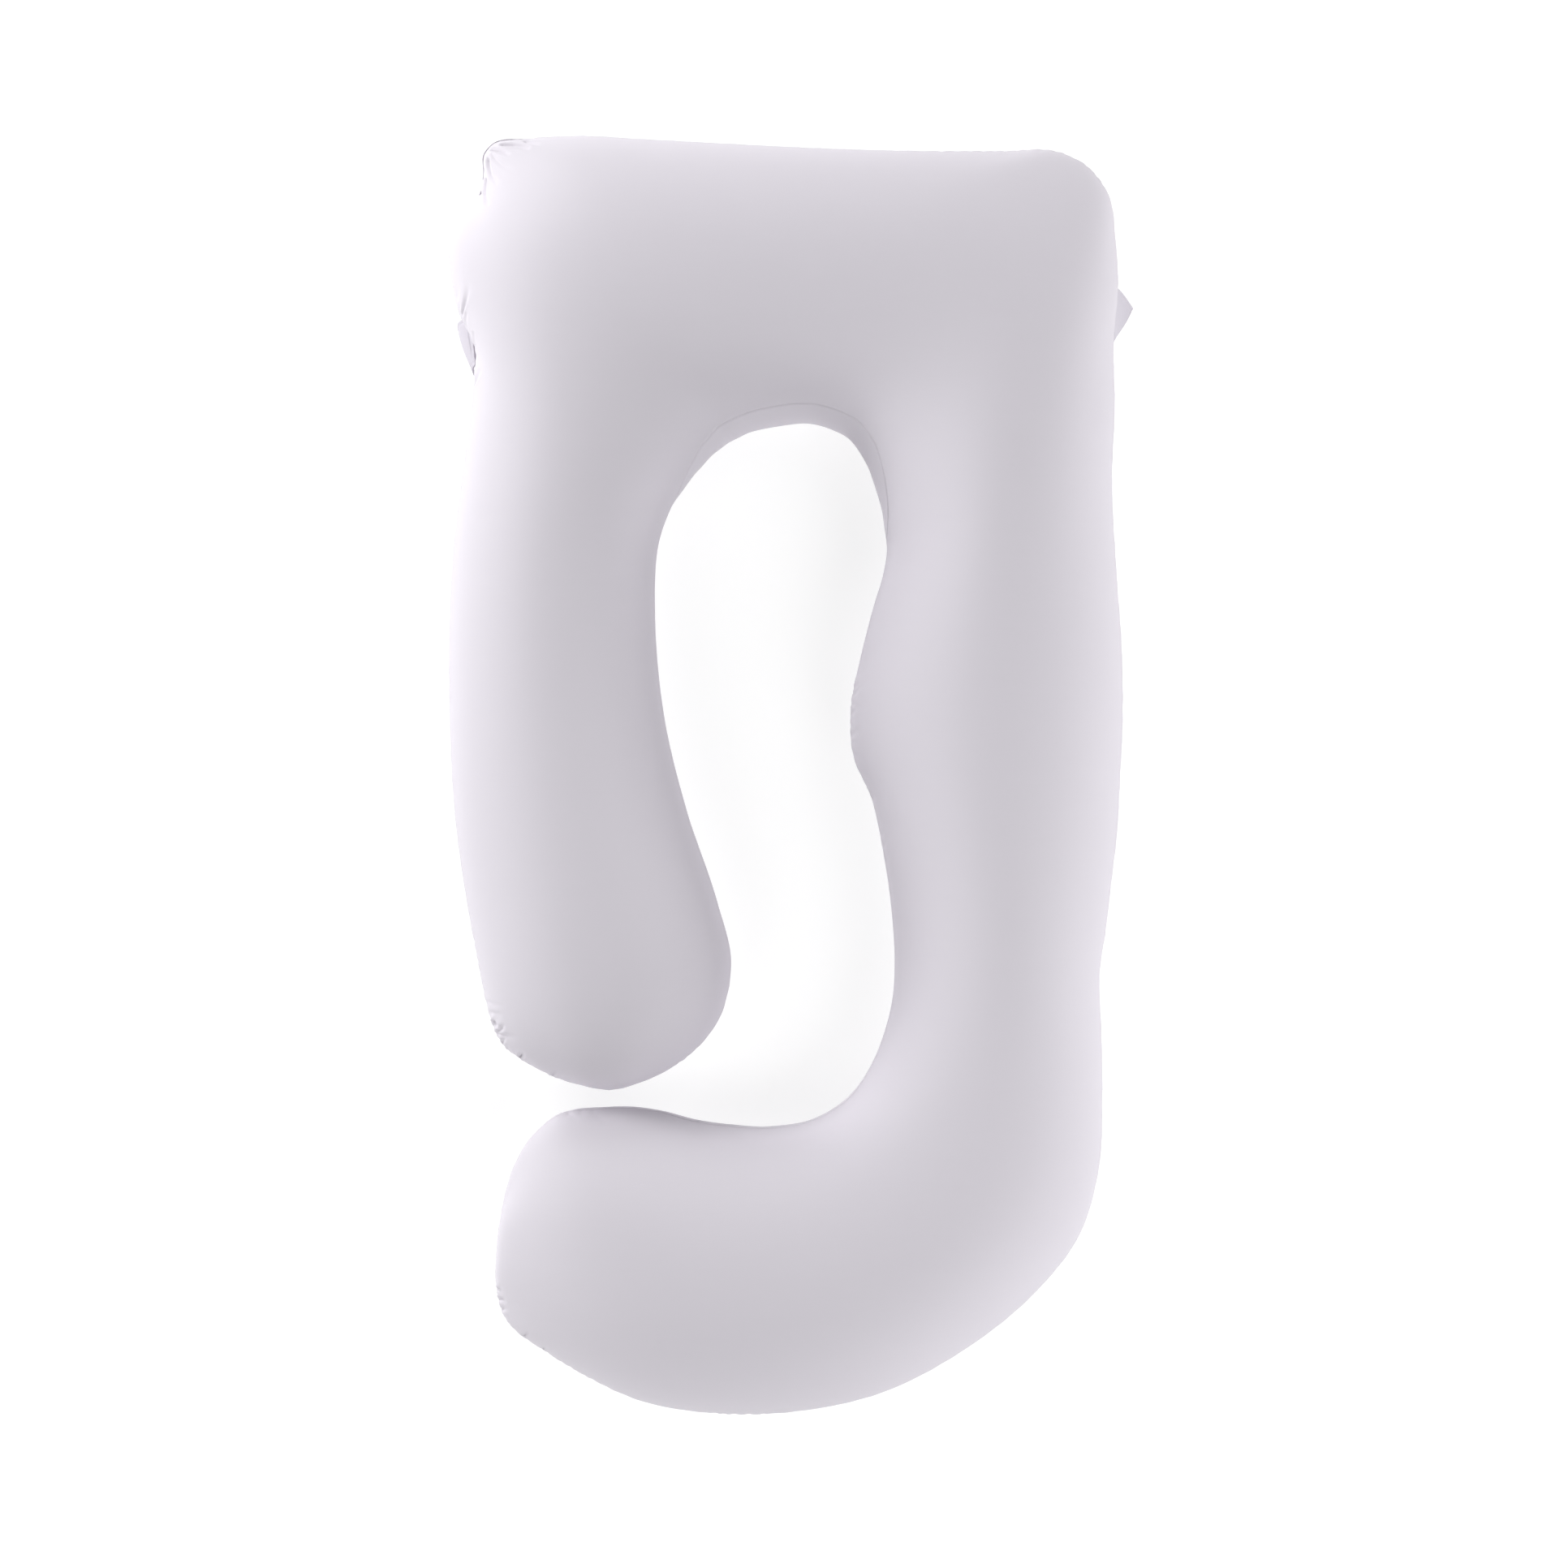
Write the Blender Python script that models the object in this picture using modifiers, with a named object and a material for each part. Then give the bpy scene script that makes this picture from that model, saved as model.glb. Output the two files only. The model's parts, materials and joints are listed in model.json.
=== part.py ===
"""A one-piece, J-shaped body pillow lying on its back, with a small cloth tab on each side.

The pillow is one filled case. It starts at the closed end of the short leg, runs up to the wide
head, turns over the neck arch, comes down the long leg and ends in the foot, which curls back
under the short leg. It is lofted through the sections of SECTIONS, from the seam on the inner
edge to the seam on the outer edge, and its belly is pressed flat where it rests.

Metres, +Z up. The head points to +Y and the long leg is on the +X side. The origin is on the
resting plane, under the middle of the whole object.
"""

import math
from collections import namedtuple

import bmesh
import bpy
import numpy as np
from mathutils import Vector

MM = 0.001

# The filled section: half of it rises above the side seam, and half hangs below it.
SEAM_HEIGHT = 80 * MM
PRESSED_FLAT = 4 * MM  # how far the round belly would reach below the resting plane
CROWN_POWER = 2.15  # 2 is an ellipse, and more is fuller in the shoulders
BELLY_POWER = 3.0
RING_POINTS = 28  # around the section
STATION_PITCH = 25 * MM  # along the outer seam

# Each bump of the seam shows on the side of the pillow and dies away towards the crown.
CALM_STATIONS = 5  # to each side, over which the seam is averaged for the crown
BUMP_POWER = 4

# The tabs are doubled cloth, sewn to the back panel a little below the side seam.
TAB_WIDTH = 46 * MM
TAB_LENGTH = 52 * MM
TAB_THICKNESS = 2.4 * MM
TAB_CELLS = 8
CLEARANCE = 0.3 * MM  # between a tab's root and the case that it is sewn to

# Each section runs from the inner seam to the outer seam. Places are in plan, in millimetres, and
# rise is how far the crown stands above the seam there.
Section = namedtuple("Section", "inner_x inner_y outer_x outer_y rise")
SECTIONS = (
    # Closed end of the short leg.
    Section(-191, -355, -226, -355, 12),
    Section(-162, -345, -260, -346, 36),
    Section(-129, -327, -298, -328, 58),
    Section(-103, -305, -327, -307, 73),
    # Short leg, going up to the head.
    Section(-85, -281, -339, -285, 82),
    Section(-73, -248, -349, -248, 87),
    Section(-69, -212, -356, -212, 89),
    Section(-85, -145, -368, -147, 89),
    Section(-120, -41, -382, -46, 88),
    Section(-146, 69, -388, 67, 87),
    Section(-156, 180, -388, 178, 87),
    Section(-152, 261, -381, 281, 88),
    Section(-138, 303, -370, 364, 90),
    Section(-125, 323, -361, 441, 92),
    # Slack bulge on the side of the head, drawn in at the tab below it.
    Section(-117, 334, -362, 490, 93),
    Section(-110, 343, -377, 522, 94),
    Section(-103, 350, -386, 562, 95),
    Section(-96, 358, -388, 604, 95),
    Section(-90, 364, -375, 636, 95),
    Section(-85, 368, -354, 661, 95),
    # Pointed corner of the head.
    Section(-81, 371, -350, 683, 95),
    Section(-77, 374, -350, 704, 95),
    Section(-73, 377, -340, 716, 96),
    Section(-68, 380, -300, 722, 96),
    # Head, over the neck arch.
    Section(-62, 383, -249, 725, 97),
    Section(-44, 391, -162, 721, 97),
    Section(-15, 397, -70, 716, 97),
    Section(18, 400, 32, 711, 97),
    Section(48, 392, 142, 708, 97),
    Section(68, 379, 243, 708, 97),
    # Round corner of the head.
    Section(79, 364, 299, 708, 97),
    Section(87, 349, 336, 690, 97),
    Section(92, 335, 359, 659, 97),
    Section(97, 320, 367, 607, 97),
    Section(102, 303, 370, 557, 97),
    # Long leg, going down, with its bump on the inner side.
    Section(105, 283, 365, 494, 97),
    Section(108, 257, 366, 419, 96),
    Section(104, 228, 363, 336, 95),
    Section(92, 187, 368, 230, 95),
    Section(78, 132, 374, 143, 96),
    Section(67, 76, 375, 60, 96),
    Section(70, 21, 372, -5, 95),
    Section(91, -28, 369, -62, 93),
    Section(105, -92, 363, -115, 92),
    Section(114, -157, 356, -175, 91),
    Section(117, -212, 349, -226, 91),
    # Bend into the foot.
    Section(112, -267, 351, -295, 92),
    Section(93, -324, 352, -364, 94),
    Section(62, -368, 348, -447, 96),
    Section(22, -392, 326, -522, 97),
    Section(-24, -400, 276, -587, 98),
    Section(-70, -398, 197, -651, 99),
    # Foot, curling back under the short leg.
    Section(-111, -392, 101, -701, 99),
    Section(-148, -382, 4, -722, 98),
    Section(-184, -377, -88, -724, 97),
    Section(-217, -378, -171, -710, 95),
    Section(-250, -381, -237, -680, 90),
    # Blunt closed end of the foot.
    Section(-276, -392, -287, -649, 80),
    Section(-300, -416, -313, -631, 66),
    Section(-316, -445, -327, -613, 52),
    Section(-327, -482, -333, -594, 36),
    Section(-333, -517, -336, -574, 18),
)

# A tab is a strip of doubled cloth. Its origin is its free corner, at x, y and z in millimetres. Its
# own +X runs up the strip to the root, turn degrees from the world's. Its cut end leaves the corner
# splay degrees from there. The corner hangs droop below the root, and the middle is folded up.
Tab = namedtuple("Tab", "name x y z turn splay droop fold")
TABS = (
    Tab("right_tab", 388, 530, 40, 130, 108, 8, 1),
    Tab("left_tab", -379, 511, 38, 52, -124, 10, 5),
)

CLOTH_COLOUR = (0.74, 0.72, 0.78, 1.0)
CLOTH_ROUGHNESS = 0.62


def clear_scene():
    """Remove everything that the file opened with."""
    for obj in list(bpy.data.objects):
        bpy.data.objects.remove(obj, do_unlink=True)


def new_collection(name):
    """A collection linked to the scene."""
    collection = bpy.data.collections.new(name)
    bpy.context.scene.collection.children.link(collection)
    return collection


def cloth(name):
    """The smooth, closely woven cotton of the case and its tabs."""
    material = bpy.data.materials.new(name)
    material.use_nodes = True
    shader = material.node_tree.nodes["Principled BSDF"]
    shader.inputs["Base Color"].default_value = CLOTH_COLOUR
    shader.inputs["Roughness"].default_value = CLOTH_ROUGHNESS
    shader.inputs["Metallic"].default_value = 0.0
    return material


def stations(sections, pitch):
    """Sections at an even pitch along the outer seam, on smooth curves through the given ones."""
    rows = np.array(sections, float) * MM
    steps = np.linalg.norm(np.diff(rows[:, :4], axis=0), axis=1)
    place = np.concatenate([[0.0], np.cumsum(steps)])
    slopes = np.gradient(rows, place, axis=0)
    made = []
    for i, step in enumerate(steps):
        count = max(1, round(math.dist(rows[i, 2:4], rows[i + 1, 2:4]) / pitch))
        for t in np.arange(count) / count:
            made.append(
                (2 * t**3 - 3 * t**2 + 1) * rows[i]
                + (t**3 - 2 * t**2 + t) * step * slopes[i]
                + (3 * t**2 - 2 * t**3) * rows[i + 1]
                + (t**3 - t**2) * step * slopes[i + 1]
            )
    made.append(rows[-1])
    return np.array(made)


def calmed(rows, span):
    """Each row averaged over its neighbours, over fewer of them towards the two ends."""
    last = len(rows) - 1
    reaches = [min(span, i, last - i) for i in range(last + 1)]
    return np.array([rows[i - r : i + r + 1].mean(axis=0) for i, r in enumerate(reaches)])


def rounded(value, power):
    """The cosine or sine of a superellipse of that power."""
    return math.copysign(abs(value) ** (2 / power), value)


def between_seams(row, across):
    """The point in plan that lies across the row, from -1 on the inner seam to 1 on the outer."""
    inner, outer = row[0:2], row[2:4]
    return (inner + outer) / 2 + (outer - inner) / 2 * across


def section_ring(row, calm_row, count):
    """Points around one filled section, from the outer seam over the crown and back underneath."""
    rise = row[4]
    hang = min(rise, SEAM_HEIGHT + PRESSED_FLAT)
    ring = []
    for angle in np.arange(count) * 2 * math.pi / count:
        above = math.sin(angle) >= 0
        power = CROWN_POWER if above else BELLY_POWER
        across = rounded(math.cos(angle), power)
        own, calm = between_seams(row, across), between_seams(calm_row, across)
        plan = calm + (own - calm) * abs(across) ** BUMP_POWER
        height = SEAM_HEIGHT + (rise if above else hang) * rounded(math.sin(angle), power)
        ring.append(Vector((plan[0], plan[1], max(0.0, height))))
    return ring


def loft(name, rings):
    """One closed mesh through rings of equally many points, with a flat face on each end."""
    built = bmesh.new()
    loops = [[built.verts.new(point) for point in ring] for ring in rings]
    count = len(loops[0])
    for near, far in zip(loops, loops[1:]):
        for i in range(count):
            j = (i + 1) % count
            built.faces.new((near[i], near[j], far[j], far[i]))
    built.faces.new(reversed(loops[0]))
    built.faces.new(loops[-1])
    bmesh.ops.recalc_face_normals(built, faces=built.faces)
    bmesh.ops.triangulate(built, faces=built.faces)  # so that a copy keeps the same facets
    mesh = bpy.data.meshes.new(name)
    built.to_mesh(mesh)
    built.free()
    return mesh


def make_pillow(collection, material):
    """The filled case, as one solid."""
    rows = stations(SECTIONS, STATION_PITCH)
    calm_rows = calmed(rows, CALM_STATIONS)
    mesh = loft("pillow", [section_ring(*pair, RING_POINTS) for pair in zip(rows, calm_rows)])
    mesh.shade_smooth()
    mesh.materials.append(material)
    pillow = bpy.data.objects.new("pillow", mesh)
    collection.objects.link(pillow)
    return pillow


def make_root_cutter(pillow, collection):
    """The case, larger by the clearance, which trims each tab to its root."""
    mesh = pillow.data.copy()
    normals = [vertex.normal.copy() for vertex in mesh.vertices]
    for vertex, normal in zip(mesh.vertices, normals):
        vertex.co += normal * CLEARANCE
    cutter = bpy.data.objects.new("root_cutter", mesh)
    cutter.hide_render = True
    cutter.display_type = "WIRE"
    collection.objects.link(cutter)
    return cutter


def shape_tab(tab, mesh):
    """Turn a flat grid, one unit wide, into the strip, with its droop and its soft fold."""
    splay = math.radians(tab.splay)
    cut_end = Vector((math.cos(splay), math.sin(splay), 0)) * TAB_WIDTH
    for vertex in mesh.vertices:
        up_strip = vertex.co.x + 0.5
        over_strip = vertex.co.y + 0.5
        lift = tab.droop * MM * math.sin(up_strip * math.pi / 2)
        crease = tab.fold * MM * math.sin(over_strip * math.pi) * up_strip
        vertex.co = cut_end * over_strip + Vector((TAB_LENGTH * up_strip, 0, lift + crease))


def make_tab(tab, cutter, collection, material):
    """A strip of doubled cloth, trimmed where it is sewn to the case."""
    bpy.ops.mesh.primitive_grid_add(x_subdivisions=TAB_CELLS, y_subdivisions=TAB_CELLS, size=1)
    strip = bpy.context.object
    strip.name = strip.data.name = tab.name
    for owner in strip.users_collection:
        owner.objects.unlink(strip)
    collection.objects.link(strip)
    shape_tab(tab, strip.data)
    strip.location = Vector((tab.x, tab.y, tab.z)) * MM
    strip.rotation_euler.z = math.radians(tab.turn)
    strip.data.materials.append(material)
    wall = strip.modifiers.new("thickness", "SOLIDIFY")
    wall.thickness = TAB_THICKNESS
    wall.offset = 0
    trim = strip.modifiers.new("root", "BOOLEAN")
    trim.operation = "DIFFERENCE"
    trim.object = cutter
    return strip


def main():
    """Build the pillow and its tabs."""
    clear_scene()
    parts = new_collection("body_pillow")
    cutters = new_collection("cutters")
    cutters.hide_render = True
    cotton = cloth("lavender_cotton")
    pillow = make_pillow(parts, cotton)
    cutter = make_root_cutter(pillow, cutters)
    for tab in TABS:
        make_tab(tab, cutter, parts, cotton)


main()
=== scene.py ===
"""The looks of the body pillow: a soft, well filled cotton case with its seam, puckers and two tabs.

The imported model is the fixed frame. The case is skinned on the same sections as its solid, filled by
a short cloth simulation, and then gets its side seam, the gathers of the sewing and the creases that
show by eye. Metres throughout, +Z up, with the head towards +Y.
"""

from __future__ import annotations

import json
import logging
import math
from dataclasses import dataclass, field
from enum import Enum
from typing import NamedTuple

import bpy
import numpy as np
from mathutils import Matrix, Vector

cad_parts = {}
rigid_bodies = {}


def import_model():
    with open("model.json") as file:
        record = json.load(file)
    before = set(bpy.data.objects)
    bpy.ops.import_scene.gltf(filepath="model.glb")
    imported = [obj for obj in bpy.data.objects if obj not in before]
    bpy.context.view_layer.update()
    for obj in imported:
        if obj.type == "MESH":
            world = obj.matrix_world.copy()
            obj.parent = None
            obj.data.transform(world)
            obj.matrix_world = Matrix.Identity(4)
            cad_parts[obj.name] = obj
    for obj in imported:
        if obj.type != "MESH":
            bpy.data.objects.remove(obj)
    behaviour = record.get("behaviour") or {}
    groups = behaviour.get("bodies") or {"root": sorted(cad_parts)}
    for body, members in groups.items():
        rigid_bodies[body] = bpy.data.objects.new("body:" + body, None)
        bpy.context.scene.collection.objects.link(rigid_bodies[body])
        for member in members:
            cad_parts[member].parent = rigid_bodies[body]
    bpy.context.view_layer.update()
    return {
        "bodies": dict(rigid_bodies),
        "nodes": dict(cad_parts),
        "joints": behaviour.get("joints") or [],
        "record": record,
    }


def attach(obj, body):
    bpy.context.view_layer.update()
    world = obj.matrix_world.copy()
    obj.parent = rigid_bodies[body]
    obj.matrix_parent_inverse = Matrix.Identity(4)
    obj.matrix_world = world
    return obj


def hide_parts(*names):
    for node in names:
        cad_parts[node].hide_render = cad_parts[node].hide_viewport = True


LOG = logging.getLogger("body_pillow")
MM = 0.001
BODY = "root"


class Seam(Enum):
    """The two long runs of the side seam."""

    OUTER = "outer"
    INNER = "inner"


class Section(NamedTuple):
    """One section of the case, from seam to seam, in millimetres. The crown rises above the seam."""

    inner_x: float
    inner_y: float
    outer_x: float
    outer_y: float
    rise: float


SECTIONS = (
    # Closed end of the short leg.
    Section(-191, -355, -226, -355, 12),
    Section(-162, -345, -260, -346, 36),
    Section(-129, -327, -298, -328, 58),
    Section(-103, -305, -327, -307, 73),
    # Short leg, going up to the head.
    Section(-85, -281, -339, -285, 82),
    Section(-73, -248, -349, -248, 87),
    Section(-69, -212, -356, -212, 89),
    Section(-85, -145, -368, -147, 89),
    Section(-120, -41, -382, -46, 88),
    Section(-146, 69, -388, 67, 87),
    Section(-156, 180, -388, 178, 87),
    Section(-152, 261, -381, 281, 88),
    Section(-138, 303, -370, 364, 90),
    Section(-125, 323, -361, 441, 92),
    # Slack bulge on the side of the head, drawn in at the tab below it.
    Section(-117, 334, -362, 490, 93),
    Section(-110, 343, -377, 522, 94),
    Section(-103, 350, -386, 562, 95),
    Section(-96, 358, -388, 604, 95),
    Section(-90, 364, -375, 636, 95),
    Section(-85, 368, -354, 661, 95),
    # Pointed corner of the head.
    Section(-81, 371, -350, 683, 95),
    Section(-77, 374, -350, 704, 95),
    Section(-73, 377, -340, 716, 96),
    Section(-68, 380, -300, 722, 96),
    # Head, over the neck arch.
    Section(-62, 383, -249, 725, 97),
    Section(-44, 391, -162, 721, 97),
    Section(-15, 397, -70, 716, 97),
    Section(18, 400, 32, 711, 97),
    Section(48, 392, 142, 708, 97),
    Section(68, 379, 243, 708, 97),
    # Round corner of the head.
    Section(79, 364, 299, 708, 97),
    Section(87, 349, 336, 690, 97),
    Section(92, 335, 359, 659, 97),
    Section(97, 320, 367, 607, 97),
    Section(102, 303, 370, 557, 97),
    # Long leg, going down, with its bump on the inner side.
    Section(105, 283, 365, 494, 97),
    Section(108, 257, 366, 419, 96),
    Section(104, 228, 363, 336, 95),
    Section(92, 187, 368, 230, 95),
    Section(78, 132, 374, 143, 96),
    Section(67, 76, 375, 60, 96),
    Section(70, 21, 372, -5, 95),
    Section(91, -28, 369, -62, 93),
    Section(105, -92, 363, -115, 92),
    Section(114, -157, 356, -175, 91),
    Section(117, -212, 349, -226, 91),
    # Bend into the foot.
    Section(112, -267, 351, -295, 92),
    Section(93, -324, 352, -364, 94),
    Section(62, -368, 348, -447, 96),
    Section(22, -392, 326, -522, 97),
    Section(-24, -400, 276, -587, 98),
    Section(-70, -398, 197, -651, 99),
    # Foot, curling back under the short leg.
    Section(-111, -392, 101, -701, 99),
    Section(-148, -382, 4, -722, 98),
    Section(-184, -377, -88, -724, 97),
    Section(-217, -378, -171, -710, 95),
    Section(-250, -381, -237, -680, 90),
    # Blunt closed end of the foot.
    Section(-276, -392, -287, -649, 80),
    Section(-300, -416, -313, -631, 66),
    Section(-316, -445, -327, -613, 52),
    Section(-327, -482, -333, -594, 36),
    Section(-333, -517, -336, -574, 18),
)


class Gather(NamedTuple):
    """A stretch of seam where the sewing gathers the cloth into puckers, in millimetres."""

    seam: Seam
    start: tuple[float, float]
    end: tuple[float, float]
    pitch: float
    depth: float
    reach: float


GATHERS = (
    # Closed end and left side of the short leg.
    Gather(Seam.OUTER, (-262, -346), (-322, -312), 16, 0.8, 18),
    Gather(Seam.OUTER, (-322, -312), (-341, -276), 8, 1.8, 22),
    Gather(Seam.OUTER, (-341, -276), (-362, -180), 11, 0.9, 14),
    Gather(Seam.INNER, (-130, -327), (-108, -309), 12, 0.8, 16),
    # Head, beside the left tab and in the pointed corner.
    Gather(Seam.OUTER, (-362, 440), (-372, 515), 15, 1.0, 22),
    Gather(Seam.OUTER, (-362, 652), (-346, 711), 11, 0.8, 20),
    Gather(Seam.OUTER, (-340, 716), (-290, 723), 13, 0.8, 20),
    # Top of the head, from its middle round the right corner.
    Gather(Seam.OUTER, (165, 708), (300, 708), 14, 0.8, 16),
    Gather(Seam.OUTER, (300, 708), (356, 664), 12, 0.7, 18),
    # Inner bump of the long leg.
    Gather(Seam.INNER, (72, 100), (68, 20), 10, 1.2, 20),
    Gather(Seam.INNER, (75, 5), (92, -30), 11, 0.9, 16),
    Gather(Seam.INNER, (99, -62), (104, -84), 11, 1.1, 18),
    # Foot: its bottom, its blunt end and its top corner.
    Gather(Seam.OUTER, (-30, -723), (-90, -724), 12, 1.1, 10),
    Gather(Seam.OUTER, (-205, -697), (-318, -624), 13, 0.9, 16),
    Gather(Seam.OUTER, (-318, -624), (-334, -585), 9, 1.1, 18),
    Gather(Seam.INNER, (-222, -378), (-270, -390), 13, 0.8, 18),
)


class Crease(NamedTuple):
    """A crease of the front panel, in plan, in millimetres. It is deepest at its first point."""

    width: float
    depth: float
    points: tuple[tuple[float, float], ...]


CREASES = (
    # Fan of creases out of the head's pointed corner.
    Crease(3.4, 3.0, ((-340, 708), (-331, 706), (-321, 701))),
    Crease(3.4, 4.0, ((-329, 713), (-314, 712), (-299, 707))),
    Crease(3.4, 1.6, ((-340, 702), (-335, 695), (-328, 688), (-317, 682))),
    Crease(3.6, 3.6, ((-344, 697), (-343, 688), (-340, 678), (-333, 667))),
    Crease(3.4, 5.0, ((-346, 673), (-347, 665), (-347, 655), (-343, 643))),
    Crease(3.2, 2.4, ((-353, 660), (-352, 649))),
    Crease(3.4, 2.6, ((-302, 717), (-288, 713))),
    # Drawn in above the left tab.
    Crease(3.2, 3.4, ((-372, 521), (-370, 527), (-367, 535), (-363, 546))),
    Crease(3.0, 1.2, ((-376, 523), (-375, 530))),
    Crease(5.0, 1.0, ((-378, 539), (-378, 553))),
    # Beside that tab and below it.
    Crease(3.0, 1.0, ((-367, 520), (-368, 511), (-369, 504))),
    Crease(2.8, 1.2, ((-359, 498), (-358, 480), (-358, 462))),
    Crease(3.6, 2.4, ((-360, 443), (-352, 455))),
    # Knot of folds at the corner of the short leg's closed end.
    Crease(4.0, 4.6, ((-338, -279), (-333, -286))),
    Crease(3.4, 4.0, ((-333, -290), (-328, -287), (-326, -283))),
    Crease(4.0, 1.5, ((-342, -268), (-330, -270))),
    Crease(4.0, 0.8, ((-344, -256), (-334, -259), (-324, -258))),
    Crease(5.0, 1.5, ((-332, -294), (-315, -295))),
    Crease(3.4, 2.6, ((-329, -304), (-325, -299))),
    Crease(3.4, 4.2, ((-309, -321), (-304, -315))),
    Crease(3.4, 2.8, ((-272, -341), (-267, -337))),
    # Notches of the foot's lower left corner.
    Crease(3.4, 3.6, ((-335, -583), (-328, -581))),
    Crease(3.4, 3.6, ((-334, -594), (-325, -593))),
    Crease(3.4, 2.6, ((-331, -607), (-323, -603))),
    Crease(3.4, 3.0, ((-304, -636), (-298, -630))),
    Crease(3.4, 2.6, ((-283, -652), (-278, -646))),
    # Faint, across the short leg.
    Crease(5.0, 0.6, ((-352, 286), (-337, 281))),
    Crease(6.0, 0.6, ((-340, 233), (-318, 229))),
)


def hermite(rows: np.ndarray, pitch: float) -> np.ndarray:
    """Fill smooth curves in between the given rows.

    Args:
        rows: The rows, with the outer seam in columns 2 and 3.
        pitch: The distance between the filled rows along the outer seam.

    Returns:
        The filled rows, the last given one included.
    """
    steps = np.linalg.norm(np.diff(rows[:, :4], axis=0), axis=1)
    place = np.concatenate([[0.0], np.cumsum(steps)])
    slopes = np.gradient(rows, place, axis=0)
    pieces = []
    for i, step in enumerate(steps):
        count = max(2, round(math.dist(rows[i, 2:4], rows[i + 1, 2:4]) / pitch))
        t = (np.arange(count) / count)[:, None]
        pieces.append(
            (2 * t**3 - 3 * t**2 + 1) * rows[i]
            + (t**3 - 2 * t**2 + t) * step * slopes[i]
            + (3 * t**2 - 2 * t**3) * rows[i + 1]
            + (t**3 - t**2) * step * slopes[i + 1]
        )
    return np.concatenate([*pieces, rows[-1:]])


def spline_weights(at: np.ndarray, count: int, wraps: bool) -> np.ndarray:
    """Weights that read a smooth curve through evenly numbered values.

    Args:
        at: Where to read, as fractional numbers of the values.
        count: How many values there are.
        wraps: Whether the last value is followed by the first.

    Returns:
        A matrix with a row for each reading and a column for each value.
    """
    low = np.floor(at).astype(int)
    t = at - low
    shares = (
        (-(t**3) + 2 * t**2 - t) / 2,
        (3 * t**3 - 5 * t**2 + 2) / 2,
        (-3 * t**3 + 4 * t**2 + t) / 2,
        (t**3 - t**2) / 2,
    )
    weights = np.zeros((len(at), count))
    for offset, share in zip((-1, 0, 1, 2), shares):
        column = low + offset
        column = column % count if wraps else np.clip(column, 0, count - 1)
        np.add.at(weights, (np.arange(len(at)), column), share)
    return weights


def bell(distance: np.ndarray) -> np.ndarray:
    """A smooth bump, 1 at no distance and nearly 0 at 2."""
    return np.exp(-(distance**2))


def fold(distance: np.ndarray) -> np.ndarray:
    """The profile of a crease: a trough with a soft ridge on each side."""
    return (1 - 1.3 * distance**2) * bell(distance)


def running_total(density: np.ndarray, along: np.ndarray) -> np.ndarray:
    """Add a density up along a line, from nothing at its start."""
    return np.concatenate([[0.0], np.cumsum((density[1:] + density[:-1]) / 2 * np.diff(along))])


@dataclass
class Net:
    """Points over the case: stations along it, and points around it, seam to seam and back.

    Attributes:
        points: Station by point around, in metres.
        flat: The same on the cloth as it was cut, one column more at each panel's second seam.
        along: For each seam, each station's length along it.
        from_seam: For each seam, each point's distance from it over the cloth.
        panel: For each point around, its fractional place, 0 to 1 on the front and 1 to 2 behind.
        front: How many points around lie on the front, from the outer seam.
    """

    points: np.ndarray
    flat: np.ndarray
    along: dict[Seam, np.ndarray]
    from_seam: dict[Seam, np.ndarray]
    panel: np.ndarray
    front: int

    def normals(self) -> np.ndarray:
        """Work out the outward direction at each point.

        Returns:
            Station by point around by coordinate.
        """
        around = np.roll(self.points, -1, axis=1) - np.roll(self.points, 1, axis=1)
        onward = np.gradient(self.points, axis=0)
        out = np.cross(around, onward)
        return out / np.maximum(np.linalg.norm(out, axis=2, keepdims=True), 1e-12)


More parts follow.
